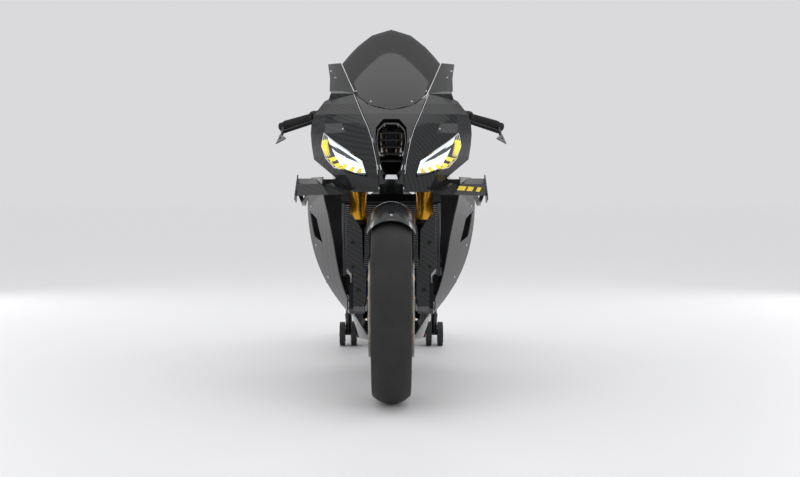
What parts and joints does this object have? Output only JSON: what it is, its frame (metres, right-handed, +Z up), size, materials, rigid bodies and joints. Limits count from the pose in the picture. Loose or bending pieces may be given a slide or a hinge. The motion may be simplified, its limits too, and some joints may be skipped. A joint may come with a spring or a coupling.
{
  "type": "sport motorcycle on a rear paddock stand",
  "caption": "Fully faired sport motorcycle in track trim with winglets and clip-on bars, held upright by a rear paddock stand.",
  "frame": {"origin": "on the floor, at the middle of the overall length and width", "axes": "+Z up, -Y the way the motorcycle faces, +X its left side"},
  "size_m": [0.77, 2.19, 1.2],
  "materials": {
    "frame_metal": "satin",
    "engine_metal": "satin",
    "radiator_metal": "satin",
    "body_paint": "gloss",
    "black_metal": "satin",
    "seat_cover": "matte",
    "red_lens": "gloss",
    "gloss_black": "gloss",
    "carbon_fibre": "gloss",
    "clear_lens": "gloss",
    "black_plastic": "matte",
    "smoked_screen": "gloss",
    "titanium": "brushed",
    "swingarm_metal": "satin",
    "steel": "satin",
    "caliper_blue": "gloss",
    "chain_steel": "satin",
    "stand_steel": "satin",
    "fork_gold": "satin",
    "clamp_metal": "satin",
    "grip_rubber": "matte",
    "tyre": "matte",
    "rim_carbon": "gloss",
    "disc_steel": "brushed",
    "sprocket_metal": "satin",
    "wheel_plastic": "satin"
  },
  "bodies": {
    "root": {"main_frame": "frame_metal", "subframe": "frame_metal", "engine": "engine_metal", "radiators": "radiator_metal", "fuel_tank": "body_paint", "tank_cap": "black_metal", "seat_pad": "seat_cover", "tail_unit": "body_paint", "tail_light": "red_lens", "nose_panel": "gloss_black", "side_cowls": "carbon_fibre", "headlight_lenses": "clear_lens", "headlight_units": "black_plastic", "windscreen": "smoked_screen", "side_fairings": "carbon_fibre", "belly_pan": "carbon_fibre", "winglets": "carbon_fibre", "dash_panel": "black_plastic", "front_stay": "black_metal", "intake_duct": "gloss_black", "exhaust_pipes": "titanium", "silencer": "titanium", "rearsets": "black_metal", "swingarm": "swingarm_metal", "rear_axle": "steel", "stand_bobbins": "steel", "rear_shock": "steel", "rear_brake_caliper": "caliper_blue", "drive_chain": "chain_steel", "front_sprocket": "steel", "rear_hugger": "carbon_fibre", "paddock_stand": "stand_steel"},
    "steering": {"fork_upper_tubes": "fork_gold", "fork_lower_legs": "black_metal", "fork_clamps": "clamp_metal", "clip_on_bars": "black_metal", "grips": "grip_rubber", "levers": "black_metal", "lever_guards": "black_plastic", "brake_fluid_pot": "black_plastic", "front_mudguard": "carbon_fibre", "brake_ducts": "carbon_fibre", "front_calipers": "caliper_blue", "front_axle": "steel"},
    "front_wheel": {"front_tyre": "tyre", "front_rim": "rim_carbon", "front_discs": "disc_steel"},
    "rear_wheel": {"rear_tyre": "tyre", "rear_rim": "rim_carbon", "rear_disc": "disc_steel", "rear_sprocket": "sprocket_metal"},
    "stand_wheels_left": {"stand_wheels_left": "wheel_plastic"},
    "stand_wheels_right": {"stand_wheels_right": "wheel_plastic"}
  },
  "joints": [
    {"name": "steering", "type": "hinge", "parent": "root", "child": "steering", "pos_m": [0, -0.54114, 0.79478], "axis": [0, 0.4067, 0.9135], "range_deg": [-24, 24]},
    {"name": "front_wheel_spin", "type": "hinge", "parent": "steering", "child": "front_wheel", "pos_m": [0, -0.795, 0.3], "axis": [1, 0, 0], "continuous": true},
    {"name": "rear_wheel_spin", "type": "hinge", "parent": "root", "child": "rear_wheel", "pos_m": [0, 0.662, 0.346], "axis": [1, 0, 0], "continuous": true},
    {"name": "stand_wheels_left_spin", "type": "hinge", "parent": "root", "child": "stand_wheels_left", "pos_m": [0.182, 0.609, 0.05], "axis": [1, 0, 0], "continuous": true},
    {"name": "stand_wheels_right_spin", "type": "hinge", "parent": "root", "child": "stand_wheels_right", "pos_m": [-0.182, 0.609, 0.05], "axis": [1, 0, 0], "continuous": true}
  ]
}
